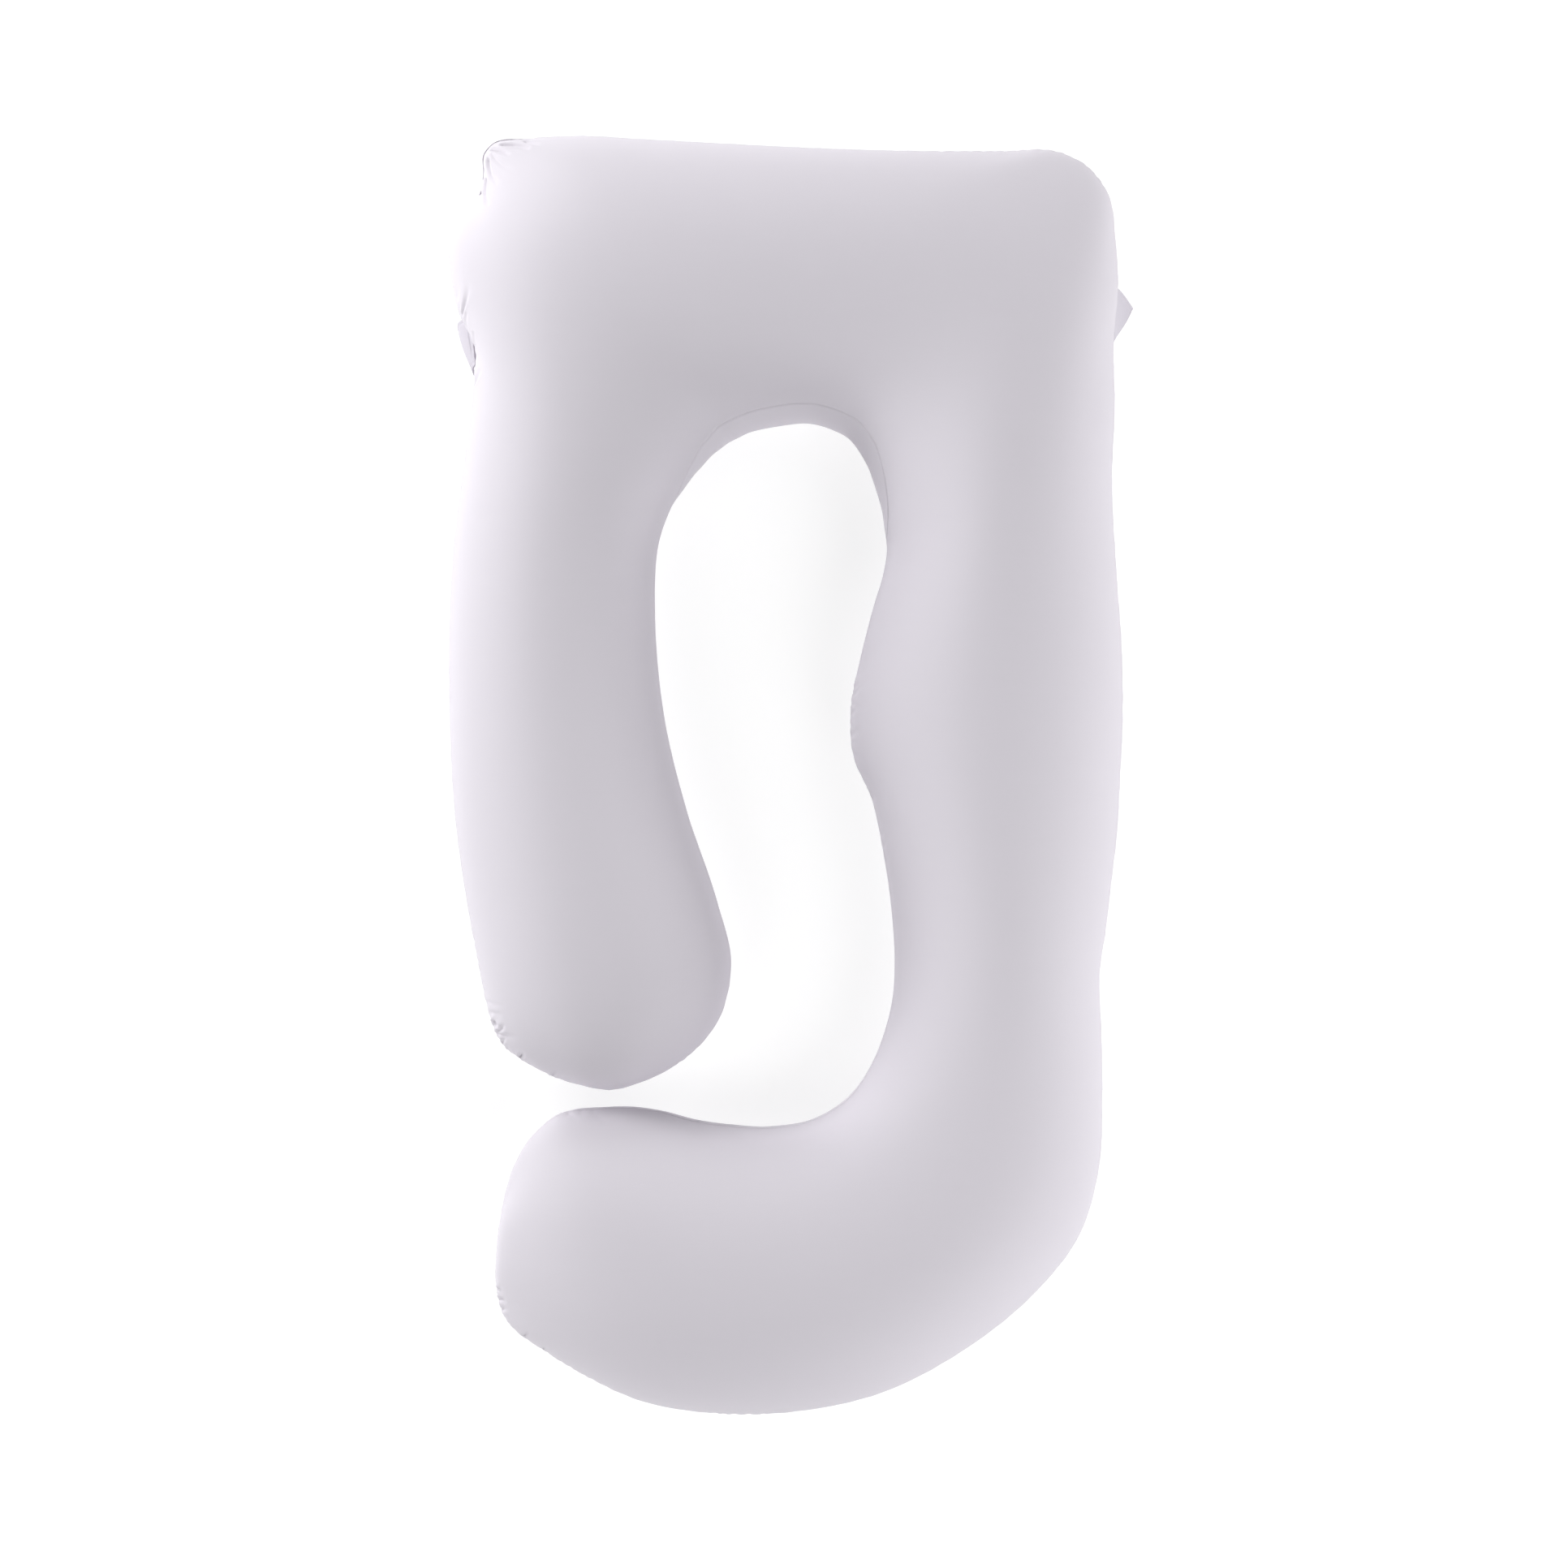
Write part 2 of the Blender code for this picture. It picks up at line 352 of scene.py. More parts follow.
@dataclass
class CaseShape:
    """The filled case's form, worked out from its sections, as in its solid."""

    seam_height: float = 80 * MM
    pressed_flat: float = 4 * MM
    crown_width_power: float = 2.5
    crown_height_power: float = 1.6
    belly_power: float = 3.0
    calm_reach: float = 125 * MM
    calm_levels: int = 13
    bump_power: float = 4.0
    row_pitch: float = 1 * MM
    curve_points: int = 161
    shares_read: int = 801
    gather_fade: float = 15 * MM
    edge_lift: float = math.radians(6)
    arch_start: tuple[float, float] = (-129, 318)
    arch_end: tuple[float, float] = (107, 270)
    arch_lift: float = math.radians(31)
    corner: tuple[float, float] = (-352, 716)
    corner_reach: float = 70 * MM
    corner_drop: float = 0.32
    rows: np.ndarray = field(init=False)
    calm: np.ndarray = field(init=False)
    place: np.ndarray = field(init=False)
    lift: np.ndarray = field(init=False)

    def __post_init__(self) -> None:
        """Fill in the rows between the sections, and where the seam rides up over the arch."""
        self.rows = hermite(np.array(SECTIONS, float) * MM, self.row_pitch)
        self.place = self.length_along(self.rows[:, 2:4])
        spans = np.linspace(1, 0, self.calm_levels) * self.calm_reach / self.row_pitch
        self.calm = np.stack([self.averaged(self.rows, span) for span in spans])
        inner = self.length_along(self.rows[:, 0:2])
        arch = [inner[self.nearest(Seam.INNER, p)] for p in (self.arch_start, self.arch_end)]
        over = np.sin(np.pi * np.interp(inner, arch, (0, 1)))
        self.lift = self.edge_lift + (self.arch_lift - self.edge_lift) * np.sqrt(np.abs(over))

    @staticmethod
    def length_along(plan: np.ndarray) -> np.ndarray:
        """The length along a line of points, at each of them."""
        return np.concatenate([[0.0], np.cumsum(np.linalg.norm(np.diff(plan, axis=0), axis=1))])

    @staticmethod
    def averaged(rows: np.ndarray, span: float, passes: int = 3) -> np.ndarray:
        """Average each row over its neighbours, over fewer of them towards the two ends.

        Args:
            rows: The rows.
            span: How many rows on each side count, far from the ends.
            passes: How often the rows are averaged, which rounds off the average.

        Returns:
            The averaged rows.
        """
        if span < 1:
            return rows
        span /= math.sqrt(passes)
        index = np.arange(len(rows), dtype=float)
        to_end = np.minimum(index, index[::-1])
        reach = np.maximum(span * np.tanh((to_end / span) ** 1.5), 1e-3)
        for _ in range(passes):
            sums = np.cumsum((rows[1:] + rows[:-1]) / 2, axis=0)
            total = np.concatenate([np.zeros((1, rows.shape[1])), sums]).T
            sums = [np.interp(index + reach, index, t) - np.interp(index - reach, index, t) for t in total]
            rows = np.where(reach[:, None] < 0.5, rows, np.stack(sums, axis=1) / (2 * reach[:, None]))
        return rows

    def nearest(self, seam: Seam, point: tuple[float, float]) -> int:
        """The row whose seam passes nearest to a point in plan, in millimetres."""
        plan = self.rows[:, 0:2] if seam is Seam.INNER else self.rows[:, 2:4]
        return int(np.argmin(np.linalg.norm(plan - np.array(point) * MM, axis=1)))

    @classmethod
    def spread(
        cls, coarse: float, fine: float, wide: float, length: float, stitch: float = 0.0
    ) -> np.ndarray:
        """Shares of a panel's width at which points lie, close together near its two seams.

        Args:
            coarse: The pitch over the crown.
            fine: The pitch beside the seams.
            wide: How far from a seam the points lie close.
            length: The usual width of the panel over its curve.
            stitch: The width of the seam's valley, which gets four more rows, or nothing.

        Returns:
            The shares, from 0 to 1.
        """
        run = np.linspace(0, length, cls.shares_read)
        edge = np.minimum(run, length - run)
        near = bell(np.maximum(edge - wide / 2, 0) / (wide / 2))
        density = 1 / coarse + (1 / fine - 1 / coarse) * near
        if stitch:
            density += 2 / stitch * bell(edge / (2 * stitch))
        total = running_total(density, run)
        return np.interp(np.linspace(0, total[-1], round(total[-1]) + 1), total, run / length)

    def stations(self, coarse: float, fine: float) -> np.ndarray:
        """Places along the outer seam, close together where the cloth is gathered or creased.

        Args:
            coarse: The pitch on plain stretches.
            fine: The pitch on gathered ones.

        Returns:
            The places, in metres along the outer seam.
        """
        density = np.full(len(self.place), 1 / coarse)
        for gather in GATHERS:
            first, last = sorted(self.nearest(gather.seam, p) for p in (gather.start, gather.end))
            margin = self.place[last] - self.place[first] + 2 * gather.reach * MM
            middle = (self.place[first] + self.place[last]) / 2
            near = bell(np.maximum(np.abs(self.place - middle) - margin / 2, 0) / self.gather_fade)
            stretch = self.stretch_of(gather.seam)
            wanted = 1 / coarse + near * (stretch / fine - 1 / coarse)
            density = np.maximum(density, np.where(near > 0.02, wanted, 0))
        total = running_total(density, self.place)
        return np.interp(np.linspace(0, total[-1], round(total[-1]) + 1), total, self.place)

    def picked(self, rows: np.ndarray, stations: np.ndarray) -> np.ndarray:
        """Read rows at places along the outer seam."""
        return np.stack([np.interp(stations, self.place, column) for column in rows.T], axis=1)

    def stretch_of(self, seam: Seam) -> np.ndarray:
        """Work out how much of a seam passes for each metre of the outer seam.

        Args:
            seam: The seam.

        Returns:
            The share at each row.
        """
        if seam is Seam.OUTER:
            return np.ones(len(self.place))
        return np.clip(np.gradient(self.length_along(self.rows[:, 0:2]), self.place), 0.3, 3)

    def panel_curves(self, calm: np.ndarray, angle: np.ndarray) -> np.ndarray:
        """Work out the case's curve around each row.

        Args:
            calm: The rows, from the calmest for the smooth crown to the plain ones for the seams.
            angle: Where to put points on each row's curve, 0 at the outer edge and a quarter on top.

        Returns:
            Row by angle by coordinate.
        """
        sine = np.sin(angle)
        above = sine >= 0
        width_power = np.where(above, self.crown_width_power, self.belly_power)
        height_power = np.where(above, self.crown_height_power, self.belly_power)
        across = np.sign(np.cos(angle)) * np.abs(np.cos(angle)) ** (2 / width_power)
        level = np.abs(across) ** self.bump_power * (len(calm) - 1)
        low = np.minimum(level.astype(int), len(calm) - 2)
        own = np.arange(calm.shape[1])[:, None]
        part = (level - low)[:, :, None]
        seams = calm[low, own] * (1 - part) + calm[low + 1, own] * part
        rise = seams[:, :, 4]
        depth = np.where(above, rise, np.minimum(rise, self.seam_height + self.pressed_flat))
        height = self.seam_height + depth * np.sign(sine) * np.abs(sine) ** (2 / height_power)
        middle = (seams[:, :, 2:4] + seams[:, :, 0:2]) / 2
        half = (seams[:, :, 2:4] - seams[:, :, 0:2]) / 2
        plan = middle + half * across[:, :, None]
        return np.concatenate([plan, np.maximum(height, 0)[:, :, None]], axis=2)

    def net(self, stations: np.ndarray, front: np.ndarray, back: np.ndarray) -> Net:
        """Lay a net over the case.

        Args:
            stations: Places along the outer seam.
            front: Where points lie across the front panel, as shares of its width.
            back: Where they lie across the back panel.

        Returns:
            The net, with the point numbered 0 on the outer seam and that numbered front on the inner.
        """
        picked = np.stack([self.picked(level, stations) for level in self.calm])
        lift = np.interp(stations, self.place, self.lift)[:, None]
        sweep = np.linspace(0, 1, self.curve_points)[None, :]
        span = np.pi - self.edge_lift - lift
        turns = (self.edge_lift + sweep * span, np.pi - lift + sweep * (2 * np.pi - span))
        axis = picked[0][:, 2:4] - picked[0][:, 0:2]
        axis /= np.linalg.norm(axis, axis=1, keepdims=True)
        middle = (picked[0][:, 0:2] + picked[0][:, 2:4]) / 2
        grids, flats, lengths = [], [], []
        for turn, share, top, sign in zip(turns, (front, back), (np.pi / 2, 3 * np.pi / 2), (1, -1)):
            curve = self.panel_curves(picked, turn)
            grid = np.empty((len(stations), len(share), 3))
            flat = np.empty((len(stations), len(share), 2))
            length = np.empty(len(stations))
            turn = np.broadcast_to(turn, (len(stations), self.curve_points))
            for i, line in enumerate(curve):
                run = self.length_along(line)
                length[i] = run[-1]
                wanted = share * run[-1]
                for k in range(3):
                    grid[i, :, k] = np.interp(wanted, run, line[:, k])
                crown = np.interp(top, turn[i], run)
                flat[i] = middle[i] + axis[i] * (sign * (crown - wanted))[:, None]
            grids.append(grid)
            flats.append(flat)
            lengths.append(length[:, None])
        off = np.linalg.norm(grids[0][:, :, 0:2] - np.array(self.corner) * MM, axis=2)
        above = np.maximum(grids[0][:, :, 2] - self.seam_height, 0)
        grids[0][:, :, 2] -= self.corner_drop * bell(off / self.corner_reach) * above
        past_front = front[None, :-1] * lengths[0]
        past_back = back[None, :-1] * lengths[1]
        outer = np.concatenate([past_front, lengths[1] - past_back], axis=1)
        inner = np.concatenate([lengths[0] - past_front, past_back], axis=1)
        return Net(
            points=np.concatenate([grids[0][:, :-1], grids[1][:, :-1]], axis=1),
            flat=np.concatenate(flats, axis=1),
            along={Seam.OUTER: stations, Seam.INNER: self.length_along(picked[-1][:, 0:2])},
            from_seam={Seam.OUTER: outer, Seam.INNER: inner},
            panel=np.concatenate([front[:-1], 1 + back[:-1]]),
            front=len(front) - 1,
        )


def skin(name: str, net: Net, end_bulge: float) -> bpy.types.Object:
    """Turn a net into a closed mesh, with a low round cap on each end.

    Args:
        name: The object's name.
        net: The net.
        end_bulge: How far the middle of a cap stands out.

    Returns:
        The object, linked to the scene.
    """
    stations, around, _ = net.points.shape
    index = np.arange(stations * around).reshape(stations, around)
    after = np.roll(index, -1, axis=1)
    quads = np.stack([index[:-1], after[:-1], after[1:], index[1:]], axis=2).reshape(-1, 4)
    ends = [net.points[0].mean(axis=0), net.points[-1].mean(axis=0)]
    ends[0] += Vector(ends[0] - net.points[3].mean(axis=0)).normalized() * np.float64(end_bulge)
    ends[1] += Vector(ends[1] - net.points[-4].mean(axis=0)).normalized() * np.float64(end_bulge)
    tip = stations * around
    first = [(int(after[0, i]), int(index[0, i]), tip) for i in range(around)]
    last = [(int(index[-1, i]), int(after[-1, i]), tip + 1) for i in range(around)]
    mesh = bpy.data.meshes.new(name)
    points = [*net.points.reshape(-1, 3).tolist(), *[list(end) for end in ends]]
    mesh.from_pydata(points, [], [*quads.tolist(), *first, *last])
    columns = np.arange(around)
    columns = columns + (columns >= net.front)
    corner = np.stack([columns, columns + 1, columns + 1, columns], axis=1)
    row = np.arange(stations - 1)[:, None, None] + np.array([0, 0, 1, 1])[None, None, :]
    sheet = net.flat[row, corner[None, :, :]].reshape(-1, 2)
    caps = []
    for station in (0, -1):
        pair = [net.flat[station, corner[:, 0]], net.flat[station, corner[:, 1]]]
        pair = pair[::-1] if station == 0 else pair
        hub = np.broadcast_to(net.flat[station].mean(axis=0), pair[0].shape)
        caps.append(np.stack([*pair, hub], axis=1).reshape(-1, 2))
    layer = mesh.uv_layers.new(name="cloth")
    layer.data.foreach_set("uv", np.concatenate([sheet, *caps]).astype(np.float32).ravel())
    mesh.shade_smooth()
    piece = bpy.data.objects.new(name, mesh)
    bpy.context.scene.collection.objects.link(piece)
    return piece


@dataclass(frozen=True)
class Filling:
    """How the filling presses the case out, found by a short cloth simulation."""

    pitch: float = 13 * MM
    fine_pitch: float = 9 * MM
    seam_zone: float = 60 * MM
    panel_width: float = 400 * MM
    pressure: float = 4.0
    frames: int = 20
    largest_move: float = 12 * MM
    floor_hold: float = 2 * MM
    quality: int = 5
    stretch_stiffness: float = 20
    bending_stiffness: float = 2

    def settle(self, shape: CaseShape, onto: Net, stations: np.ndarray) -> np.ndarray:
        """Fill the case, and read its movement at the points of a finer net.

        Args:
            shape: The case's form.
            onto: The finer net.
            stations: That net's places along the outer seam.

        Returns:
            The movement of each of its points.
        """
        places = np.linspace(0, shape.place[-1], round(shape.place[-1] / self.pitch) + 1)
        across = shape.spread(self.pitch * 1.3, self.fine_pitch, self.seam_zone, self.panel_width)
        net = shape.net(places, across, across)
        move = self.simulate(net)
        size = np.linalg.norm(move, axis=2, keepdims=True)
        move *= np.minimum(1, self.largest_move / np.maximum(size, 1e-9))
        LOG.info("filling: moved %.1f mm on average, %.1f mm at most", size.mean() / MM, size.max() / MM)
        down = spline_weights(stations / self.pitch_of(places), len(places), wraps=False)
        turn = np.interp(onto.panel, [*net.panel, 2.0], np.arange(len(net.panel) + 1))
        around = spline_weights(turn, len(net.panel), wraps=True)
        return np.einsum("sp,pqk,rq->srk", down, move, around)

    @staticmethod
    def pitch_of(places: np.ndarray) -> float:
        """The distance between evenly spaced places."""
        return float(places[1] - places[0])

    def simulate(self, net: Net) -> np.ndarray:
        """Run the cloth simulation on a coarse net, held at its seams, ends and resting face.

        Args:
            net: The coarse net.

        Returns:
            The movement of each of its points.
        """
        piece = skin("filling", net, 0.0)
        stations, around, _ = net.points.shape
        held = np.zeros((stations, around), bool)
        held[:, [0, net.front]] = True
        held[[0, 1, -2, -1]] = True
        held |= net.points[:, :, 2] < self.floor_hold
        group = piece.vertex_groups.new(name="held")
        tips = [stations * around, stations * around + 1]
        group.add([*(int(i) for i in np.flatnonzero(held)), *tips], 1.0, "ADD")
        cloth = piece.modifiers.new("filling", "CLOTH")
        cloth.settings.quality = self.quality
        cloth.settings.use_pressure = True
        cloth.settings.uniform_pressure_force = self.pressure
        cloth.settings.vertex_group_mass = "held"
        cloth.settings.effector_weights.gravity = 0
        cloth.settings.tension_stiffness = self.stretch_stiffness
        cloth.settings.compression_stiffness = self.stretch_stiffness
        cloth.settings.bending_stiffness = self.bending_stiffness
        cloth.collision_settings.use_collision = False
        cloth.point_cache.frame_end = self.frames
        scene = bpy.context.scene
        for frame in range(1, self.frames + 1):
            scene.frame_set(frame)
        found = piece.evaluated_get(bpy.context.evaluated_depsgraph_get())
        points = np.empty(3 * len(found.data.vertices))
        found.data.vertices.foreach_get("co", points)
        move = points.reshape(-1, 3)[: stations * around].reshape(net.points.shape) - net.points
        bpy.data.objects.remove(piece, do_unlink=True)
        scene.frame_set(1)
        return move


@dataclass
class Sewing:
    """What the needle does to the cloth: the seam's valley, its puckers and the creases by it."""

    valley_depth: float = 0.9 * MM
    valley_width: float = 1.0 * MM
    shoulder: float = 0.25
    shoulder_place: float = 3.0
    shoulder_width: float = 1.5
    held_width: float = 3 * MM
    held_share: float = 0.6
    first_place: tuple[float, float] = (0, 0.6)
    depths: tuple[float, float] = (0.45, 1.15)
    reaches: tuple[float, float] = (0.5, 1.15)
    leans: tuple[float, float] = (-0.5, 0.5)
    widths: tuple[float, float] = (0.22, 0.36)
    steps: tuple[float, float] = (0.6, 1.5)
    widening: float = 0.9
    crease_fade: float = 0.75
    crease_start: float = 0.6
    crease_growth: float = 0.5
    ease_depth: float = 0.12 * MM
    ease_length: float = 34 * MM
    ease_reach: float = 12 * MM
    seed: int = 7

    def relief(self, shape: CaseShape, net: Net) -> np.ndarray:
        """How far each point stands out of the plain filled case.

        Args:
            shape: The case's form.
            net: The net that is dressed.

        Returns:
            The height of each point, in metres, negative inwards.
        """
        height = np.zeros(net.points.shape[:2])
        for seam in Seam:
            off = net.from_seam[seam]
            height -= self.valley_depth * bell(off / self.valley_width)
            beside = off - self.shoulder_place * self.valley_width
            beside /= self.shoulder_width * self.valley_width
            height += self.shoulder * self.valley_depth * bell(beside)
            waves = np.sin(2 * np.pi * net.along[seam] / self.ease_length)
            waves += np.sin(2 * np.pi * net.along[seam] / (self.ease_length * 0.73) + 1)
            height += self.ease_depth * waves[:, None] * bell(off / self.ease_reach)
        for gather in GATHERS:
            height += self.puckers(shape, net, gather)
        for crease in CREASES:
            height += self.creased(net, crease)
        return height

    def puckers(self, shape: CaseShape, net: Net, gather: Gather) -> np.ndarray:
        """The uneven puckers along one gathered stretch of seam.

        Args:
            shape: The case's form.
            net: The net that is dressed.
            gather: The stretch.

        Returns:
            The height of each point, in metres, negative inwards.
        """
        chance = np.random.default_rng(self.seed + round(abs(sum(gather.start) + 3 * sum(gather.end))))
        marks = shape.length_along(shape.rows[:, 0:2] if gather.seam is Seam.INNER else shape.rows[:, 2:4])
        run = np.interp(net.along[Seam.OUTER], shape.place, marks)
        first, last = sorted(marks[shape.nearest(gather.seam, p)] for p in (gather.start, gather.end))
        off = net.from_seam[gather.seam]
        behind = (np.arange(net.points.shape[1]) >= net.front)[None, :]
        height = np.zeros(net.points.shape[:2])
        spot = first + gather.pitch * MM * chance.uniform(*self.first_place)
        while spot < last:
            depth = gather.depth * MM * chance.uniform(*self.depths)
            reach = gather.reach * MM * chance.uniform(*self.reaches)
            lean = np.where(behind, chance.uniform(*self.leans), chance.uniform(*self.leans))
            width = gather.pitch * MM * chance.uniform(*self.widths)
            offset = run[:, None] - spot - lean * off
            spread = width * (1 + self.widening * off / reach)
            pinch = 1 - self.held_share * bell(off / self.held_width)
            height -= depth * fold(offset / spread) * bell(off / reach) * pinch
            spot += gather.pitch * MM * chance.uniform(*self.steps)
        return height

    def creased(self, net: Net, crease: Crease) -> np.ndarray:
        """One crease of the front panel, running out towards its last point.

        Args:
            net: The net that is dressed.
            crease: The crease.

        Returns:
            The height of each point, in metres, negative inwards.
        """
        line = np.array(crease.points) * MM
        spans = np.linalg.norm(np.diff(line, axis=0), axis=1)
        plan = net.points[:, :, 0:2]
        nearest = np.full(plan.shape[:2], np.inf)
        along = np.zeros(plan.shape[:2])
        for i, span in enumerate(spans):
            run = (line[i + 1] - line[i]) / span
            on = np.clip((plan - line[i]) @ run, 0, span)
            away = np.linalg.norm(plan - line[i] - on[:, :, None] * run, axis=2)
            closer = away < nearest
            nearest = np.where(closer, away, nearest)
            along = np.where(closer, (on + spans[:i].sum()) / spans.sum(), along)
        fade = 1 - self.crease_fade * along**1.5
        front = (np.arange(net.points.shape[1]) <= net.front)[None, :]
        width = crease.width * MM * (self.crease_start + self.crease_growth * along)
        return np.where(front, -crease.depth * MM * fold(nearest / width) * fade, 0)


def new_group(
    name: str, inputs: dict[str, tuple[str, float]], outputs: dict[str, str]
) -> bpy.types.NodeTree:
    """Start a shader node group.

    Args:
        name: The group's name.
        inputs: Socket type and default value by name. A vector has no default.
        outputs: Socket type by name.

    Returns:
        The group, with its input and output nodes.
    """
    group = bpy.data.node_groups.new(name, "ShaderNodeTree")
    for label, (kind, value) in inputs.items():
        made = group.interface.new_socket(name=label, in_out="INPUT", socket_type=kind)
        if kind == "NodeSocketFloat":
            made.default_value = value
    for label, kind in outputs.items():
        group.interface.new_socket(name=label, in_out="OUTPUT", socket_type=kind)
    group.nodes.new("NodeGroupInput")
    group.nodes.new("NodeGroupOutput")
    return group


def maths(tree: bpy.types.NodeTree, operation: str, *values: object) -> bpy.types.NodeSocket:
    """Add a Math node.

    Args:
        tree: The node tree.
        operation: The node's operation.
        *values: Its inputs, as numbers or sockets.

    Returns:
        Its output socket.
    """
    node = tree.nodes.new("ShaderNodeMath")
    node.operation = operation
    for socket, value in zip(node.inputs, values):
        if isinstance(value, bpy.types.NodeSocket):
            tree.links.new(value, socket)
        else:
            socket.default_value = value
    return node.outputs[0]


def noise(tree: bpy.types.NodeTree, vector: bpy.types.NodeSocket, stretch: tuple[float, float, float],
          detail: float) -> bpy.types.NodeSocket:
    """Add noise on a stretched vector.

    Args:
        tree: The node tree.
        vector: The place that it reads, in metres.
        stretch: How many spots there are in a metre, each way.
        detail: How many finer layers it has.

    Returns:
        How far the noise lies from its middle.
    """
    mapping = tree.nodes.new("ShaderNodeMapping")
    mapping.inputs["Scale"].default_value = stretch
    tree.links.new(vector, mapping.inputs["Vector"])
    texture = tree.nodes.new("ShaderNodeTexNoise")
    texture.inputs["Scale"].default_value = 1.0
    texture.inputs["Detail"].default_value = detail
    tree.links.new(mapping.outputs["Vector"], texture.inputs["Vector"])
    return maths(tree, "SUBTRACT", texture.outputs["Fac"], 0.5)


@dataclass(frozen=True)
class SateenWeave:
    """The close sateen weave, with slubs along the weft, a slight unevenness of dye, and painted shade in
    the hollows between its threads.

    The warp, weft and satin are shares of the weave's height. What ends in spots counts a pattern's
    spots in a metre, each way, and what ends in tone says how much it changes the tone.
    """

    warp: float = 0.35
    weft: float = 0.5
    satin: float = 0.4
    satin_step: float = 0.25
    slub_spots: tuple[float, float, float] = (14.0, 420.0, 1.0)
    streak_spots: tuple[float, float, float] = (5.0, 60.0, 1.0)
    cloud_spots: tuple[float, float, float] = (9.0, 7.0, 1.0)
    slub_tone: float = 0.06
    streak_tone: float = 0.05
    cloud_tone: float = 0.05
    # Painted shade: the tone darkens where the weave lies lower, in the hollows between its threads.
    thread_shade_tone: float = 0.012
    slub_height: float = 1.5

    def group(self) -> bpy.types.NodeTree:
        """Build the weave.

        Returns:
            A group that takes the flat cloth's place in metres, and gives Tone around 0 and Height.
        """
        group = new_group(
            "sateen_weave",
            {
                "Cloth": ("NodeSocketVector", 0.0),
                "Thread": ("NodeSocketFloat", 0.0007),
                "Slub": ("NodeSocketFloat", 1.0),
                "Unevenness": ("NodeSocketFloat", 1.0),
            },
            {"Tone": "NodeSocketFloat", "Height": "NodeSocketFloat"},
        )
        given, made = group.nodes["Group Input"].outputs, group.nodes["Group Output"].inputs
        split = group.nodes.new("ShaderNodeSeparateXYZ")
        group.links.new(given["Cloth"], split.inputs[0])
        x, y = split.outputs["X"], split.outputs["Y"]
        turn = maths(group, "DIVIDE", 2 * math.pi, given["Thread"])
        along = maths(group, "MULTIPLY", y, turn)
        warp = maths(group, "SINE", maths(group, "MULTIPLY", x, turn))
        weft = maths(group, "SINE", along)
        step = maths(group, "MULTIPLY", x, maths(group, "MULTIPLY", turn, self.satin_step))
        satin = maths(group, "SINE", maths(group, "ADD", step, along))
        threads = maths(group, "MULTIPLY", warp, self.warp)
        for thread, share in ((weft, self.weft), (satin, self.satin)):
            threads = maths(group, "ADD", threads, maths(group, "MULTIPLY", thread, share))
        slubs = noise(group, given["Cloth"], self.slub_spots, 3.0)
        streaks = noise(group, given["Cloth"], self.streak_spots, 2.0)
        clouds = noise(group, given["Cloth"], self.cloud_spots, 2.0)
        slubs = maths(group, "MULTIPLY", slubs, given["Slub"])
        streaks = maths(group, "MULTIPLY", streaks, given["Slub"])
        clouds = maths(group, "MULTIPLY", clouds, given["Unevenness"])
        tone = maths(group, "MULTIPLY", slubs, self.slub_tone)
        # The threads' share is painted shade, darker in the weave's hollows; the slubs, streaks and clouds
        # differ at random.
        shares = ((streaks, self.streak_tone), (clouds, self.cloud_tone), (threads, self.thread_shade_tone))
        for part, share in shares:
            tone = maths(group, "ADD", tone, maths(group, "MULTIPLY", part, share))
        group.links.new(tone, made["Tone"])
        raised = maths(group, "MULTIPLY", slubs, self.slub_height)
        group.links.new(maths(group, "ADD", threads, raised), made["Height"])
        return group


@dataclass(frozen=True)
class ClothFinish:
    """A dyed sateen.

    Attributes:
        name: The material's name.
        colour: Its linear colour.
        deeper: The darker colour that the weave's tone mixes in, for its unevenness of dye and for the
            painted shade in the hollows of its weave.
        roughness: How dull it is.
        sheen: How much its fibres catch light at a glancing angle.
        thread: The pitch of its threads.
        bump: How far its weave stands up.
    """

    name: str
    colour: tuple[float, float, float]
    deeper: tuple[float, float, float]
    roughness: float = 0.7
    sheen: float = 0.05
    thread: float = 0.7 * MM
    bump: float = 0.05 * MM
    bump_strength: float = 0.35
    specular: float = 0.15
    sheen_roughness: float = 0.45
    dull_spread: float = 0.4

    def material(self, weave: bpy.types.NodeTree) -> bpy.types.Material:
        """Build the material.

        Args:
            weave: The group that draws the weave.

        Returns:
            The material, which reads the piece's map of the flat cloth.
        """
        made = bpy.data.materials.new(self.name)
        made.use_nodes = True
        tree = made.node_tree
        shader = tree.nodes["Principled BSDF"]
        cloth = tree.nodes.new("ShaderNodeUVMap")
        cloth.uv_map = "cloth"
        woven = tree.nodes.new("ShaderNodeGroup")
        woven.node_tree = weave
        woven.inputs["Thread"].default_value = self.thread
        tree.links.new(cloth.outputs["UV"], woven.inputs["Cloth"])
        tint = tree.nodes.new("ShaderNodeMix")
        tint.data_type = "RGBA"
        tint.inputs["A"].default_value = (*self.deeper, 1.0)
        tint.inputs["B"].default_value = (*self.colour, 1.0)
        tree.links.new(maths(tree, "ADD", woven.outputs["Tone"], 0.5), tint.inputs["Factor"])
        tree.links.new(tint.outputs["Result"], shader.inputs["Base Color"])
        bump = tree.nodes.new("ShaderNodeBump")
        bump.inputs["Strength"].default_value = self.bump_strength
        bump.inputs["Distance"].default_value = self.bump
        tree.links.new(woven.outputs["Height"], bump.inputs["Height"])
        tree.links.new(bump.outputs["Normal"], shader.inputs["Normal"])
        dull = maths(tree, "MULTIPLY_ADD", woven.outputs["Tone"], self.dull_spread, self.roughness)
        tree.links.new(dull, shader.inputs["Roughness"])
        shader.inputs["Specular IOR Level"].default_value = self.specular
        shader.inputs["Sheen Weight"].default_value = self.sheen
        shader.inputs["Sheen Roughness"].default_value = self.sheen_roughness
        return made


